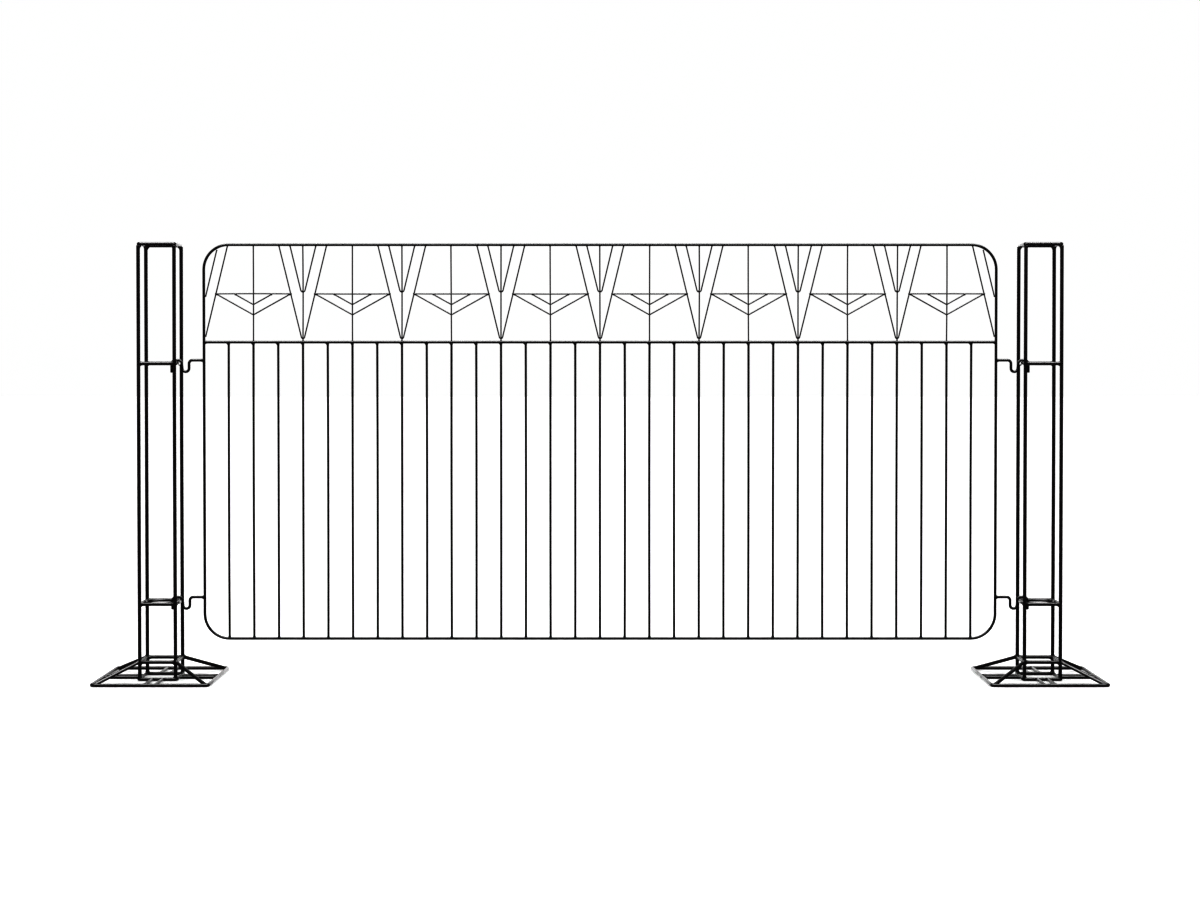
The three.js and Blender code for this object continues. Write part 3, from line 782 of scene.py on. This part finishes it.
def rail_square(middle):
    """Four short rails with fillets at both ends, and a bead inside each corner."""
    end = TOWER_HALF - POST_ROD + BITE
    surfaces = []
    for direction, sideways in ((X, Y), (Y, X)):
        for side in (-1, 1):
            offset = middle + sideways * side * TOWER_HALF
            path = straight(offset - direction * end, offset + direction * end, reach=7 * MM)
            welds = {end: weld(*RAIL_BEAD) for end in ("start", "end")}
            surfaces.append(tube(path, POST_ROD, Z, **welds))
    inside = TOWER_HALF - POST_ROD - CORNER_NUGGET_INSET
    for a in (-1, 1):
        for b in (-1, 1):
            spot = middle + np.array([a * inside, b * inside, 0])
            surfaces.append(nugget(spot, CORNER_NUGGET))
    return surfaces


def pole_ring(middle):
    """A round ring: point = middle + radius (cosine, sine). A long bead joins it to each rail."""
    angle = np.linspace(0, 2 * np.pi, POLE_RING_STEPS, endpoint=False)[:, None]
    path = middle + POLE_RING_MIDDLE * (np.cos(angle) * X + np.sin(angle) * Y)
    surfaces = [tube(path, POLE_ROD, Z, POLE_ROD_RING, closed=True)]
    touch = TOWER_HALF - POST_ROD
    for direction, long_way in ((X, Y), (Y, X)):
        for side in (-1, 1):
            for height in (-1, 1):
                spot = middle + direction * side * touch + Z * height * POLE_BEAD_RISE
                surfaces.append(nugget(spot, POLE_BEAD_HALF @ np.array([direction, long_way, Z])))
    return surfaces


# %% [markdown]
# ## The feet
#
# A foot is a wide square on the floor. Eight short stubs tie it to the ring under the legs, and four
# struts climb from its corners to the legs, where they meet the collar. A strut leans, so its weld
# at the floor spreads level, across the strut, and the one at the leg spreads up and down.


# %% Feet
STUB_REACH, STUB_SPREAD = 5 * MM, 2.2 * MM
STRUT_LOW_REACH, STRUT_LOW_SPREAD = 9 * MM, 1.3 * MM
STRUT_HIGH_REACH, STRUT_HIGH_SPREAD = 7 * MM, 2.2 * MM
STRUT_NUGGET = np.array([5.2, 5.2, 3.6]) * MM
STRUT_NUGGET_OUT, STRUT_NUGGET_UP = 1.5 * MM, 0.5 * MM
DIAGONAL = math.sqrt(0.5)


def foot(label, body):
    """One foot: the outer square, its stubs and its struts, in one mesh."""
    node = f"{label}_foot_frame"
    low, high, middle = box_of(node)
    ground = low[2] + POST_ROD
    middle = np.array([middle[0], middle[1], ground])
    half, half_deep = (high[:2] - low[:2]) / 2 - POST_ROD
    surfaces = [tube(loop(half, half_deep, FOOT_BEND, X, Y, middle), POST_ROD - CLEAR, Z, closed=True)]
    ring_low, ring_high = box_of(f"{label}_base_ring")[:2]
    ring_face = (ring_high[0] - ring_low[0]) / 2
    for direction, sideways in ((X, Y), (Y, X)):
        for side in (-1, 1):
            for across in (-STUB_MIDDLE, STUB_MIDDLE):
                line = middle + sideways * across
                inner = line + direction * side * (ring_face - BITE)
                outer = line + direction * side * (half - POST_ROD + BITE)
                spread = both(sideways * STUB_SPREAD)
                welds = {end: weld(STUB_REACH, *spread) for end in ("start", "end")}
                path = straight(inner, outer, reach=6 * MM, parts=4)
                surfaces.append(tube(path, POST_ROD * THINNER, Z, **welds))
    collar = box_of(f"{label}_collar")[2][2]
    bend_middle = half - FOOT_BEND * (1 - DIAGONAL)
    for a in (-1, 1):
        for b in (-1, 1):
            out = np.array([a, b, 0])
            start = middle + out * (bend_middle - STRUT_INSET)
            leg_face = TOWER_HALF + (POST_ROD - BITE) * DIAGONAL
            finish = middle + out * leg_face + Z * (collar - ground)
            sideways = np.array([-b, a, 0]) * DIAGONAL
            welds = {
                "start": weld(STRUT_LOW_REACH, *both(sideways * STRUT_LOW_SPREAD)),
                "end": weld(STRUT_HIGH_REACH, *both(Z * STRUT_HIGH_SPREAD)),
            }
            path = straight(start, finish, STRUT_LOW_REACH)
            surfaces.append(tube(path, POST_ROD * THINNER, sideways, **welds))
            spot = start + out * STRUT_NUGGET_OUT + Z * STRUT_NUGGET_UP
            surfaces.append(nugget(spot, STRUT_NUGGET))
    piece(node, surfaces, body, "foot_coat")
    return len(surfaces)


# %% Both posts
for side, label in ((-1, "left"), (1, "right")):
    body = f"{label}_post"
    legs(label, side * TOWER_X, body)
    square_ring(f"{label}_top_ring", SQUARE_BEND, body, "post_coat")
    square_ring(f"{label}_base_ring", SQUARE_BEND, body, "foot_coat")
    for level in ("upper", "lower"):
        node = f"{label}_{level}_hook_ring"
        middle = box_of(node)[2]
        piece(node, rail_square(middle) + pole_ring(middle), body, "post_coat")
    piece(f"{label}_collar", rail_square(box_of(f"{label}_collar")[2]), body, "post_coat")
    print(label, "foot surfaces:", foot(label, body))

# %% [markdown]
# ## Floor, light and camera
#
# A barrier like this is sold from a picture on white, so the floor is pale and the light is soft. The
# floor glows a little, like a light table, and a broad sun from above does the rest: together they
# are just white, with hardly a shadow. A wide lamp overhead draws a thin line along the top of the
# rods. The camera sees white all round, but reflections see a dim room with one bright patch behind
# the object, so black gloss stays black from the front, and shows light where a rod runs away from
# the viewer.

# %% Floor
FLOOR_HALF = 30.0
FLOOR_SHADES = (0.90, 0.90, 0.90, 1), (0.94, 0.94, 0.94, 1)
FLOOR_NOISE, FLOOR_RANGE = (0.7, 2), (0.3, 0.7)
FLOOR_GLOW = 0.5
floor_mesh = bpy.data.meshes.new("studio_floor")
corners = [(a * FLOOR_HALF, b * FLOOR_HALF, 0) for a, b in ((-1, -1), (1, -1), (1, 1), (-1, 1))]
floor_mesh.from_pydata(corners, [], [(0, 1, 2, 3)])
floor = bpy.data.objects.new("studio_floor", floor_mesh)
bpy.context.scene.collection.objects.link(floor)
paper = bpy.data.materials.new("pale floor")
graph = Graph(paper)
where = graph.place()[0]
shade = graph.mixed(graph.noise(where, *FLOOR_NOISE).between(*FLOOR_RANGE), *FLOOR_SHADES)
sheet = graph.add("ShaderNodeBsdfPrincipled", inputs={
    "Base Color": shade,
    "Roughness": 0.9,
    "Specular IOR Level": 0.1,
    "Emission Color": (1, 1, 1, 1),
    "Emission Strength": FLOOR_GLOW,
})
graph.add("ShaderNodeOutputMaterial", inputs={"Surface": sheet.outputs[0]})
floor_mesh.materials.append(paper)
floor.visible_glossy = False
print("floor:", 2 * FLOOR_HALF, "m wide")

# %% Surroundings
AROUND = 0.035
BEHIND = 3.2
BEHIND_EDGE = (0.947, 0.972)  # cosines of the angles between which the bright patch fades in
world = bpy.data.worlds.new("studio")
bpy.context.scene.world = world
graph = Graph(world)
direction = graph.add("ShaderNodeTexCoord").outputs["Generated"]
parts = graph.add("ShaderNodeSeparateXYZ", inputs=[direction]).outputs
glow = AROUND + BEHIND * Value(graph, parts[1]).between(*BEHIND_EDGE)
seen = Value(graph, graph.add("ShaderNodeLightPath").outputs["Is Camera Ray"])
strength = seen + (1 - seen) * glow
sky = graph.add("ShaderNodeBackground", inputs={"Color": (1, 1, 1, 1), "Strength": strength})
graph.add("ShaderNodeOutputWorld", inputs={"Surface": sky.outputs[0]})
print("reflections: dim room", AROUND, "and bright patch", round(AROUND + BEHIND, 3))


# %% Lamps
def hang(data, name, place, target=(0, 0, 0.5)):
    """Puts a lamp in the scene, looking at a point."""
    obj = bpy.data.objects.new(name, data)
    obj.location = place
    aim = Vector(target) - Vector(place)
    obj.rotation_euler = aim.to_track_quat("-Z", "Y").to_euler()
    bpy.context.scene.collection.objects.link(obj)
    return obj


def soft_box(name, place, size_x, size_y, power):
    """A rectangular soft lamp."""
    data = bpy.data.lights.new(name, "AREA")
    data.shape = "RECTANGLE"
    data.size, data.size_y, data.energy = size_x, size_y, power
    return hang(data, name, place)


WINDOW_SIZE = 1.2
WINDOW_POWER = 24
OVERHEAD_POWER = 600
soft_box("overhead", (0, -0.4, 3.2), 4.2, 2.2, OVERHEAD_POWER).visible_diffuse = False
soft_box("left window", (-3.6, -2.4, 2.4), WINDOW_SIZE, WINDOW_SIZE, WINDOW_POWER)
soft_box("right window", (3.6, -2.4, 2.4), WINDOW_SIZE, WINDOW_SIZE, WINDOW_POWER)
wash = bpy.data.lights.new("ceiling wash", "SUN")
wash.energy = 2.0
wash.angle = math.radians(75)
hang(wash, "ceiling wash", (0, 0, 6), (0, 0.01, 0)).visible_glossy = False

# %% Camera
CAMERA_DISTANCE = 4.84
CAMERA_HEIGHT = 0.755
CAMERA_PITCH = math.radians(1.08)
CAMERA_LENS = 63.03  # millimetres, on a sensor 36 wide
CAMERA_SHIFT = -0.0493
camera_data = bpy.data.cameras.new("camera")
camera_data.sensor_width = 36.0
camera_data.lens = CAMERA_LENS
camera_data.shift_y = CAMERA_SHIFT
camera_data.dof.use_dof = False
camera = bpy.data.objects.new("camera", camera_data)
camera.location = (0.0, -CAMERA_DISTANCE, CAMERA_HEIGHT)
camera.rotation_euler = (math.pi / 2 - CAMERA_PITCH, 0, 0)
bpy.context.scene.collection.objects.link(camera)
bpy.context.scene.camera = camera
view = bpy.context.scene.view_settings
view.view_transform = "Standard"
view.gamma = 0.56
print("camera", CAMERA_DISTANCE, "m in front,", CAMERA_HEIGHT, "m up")
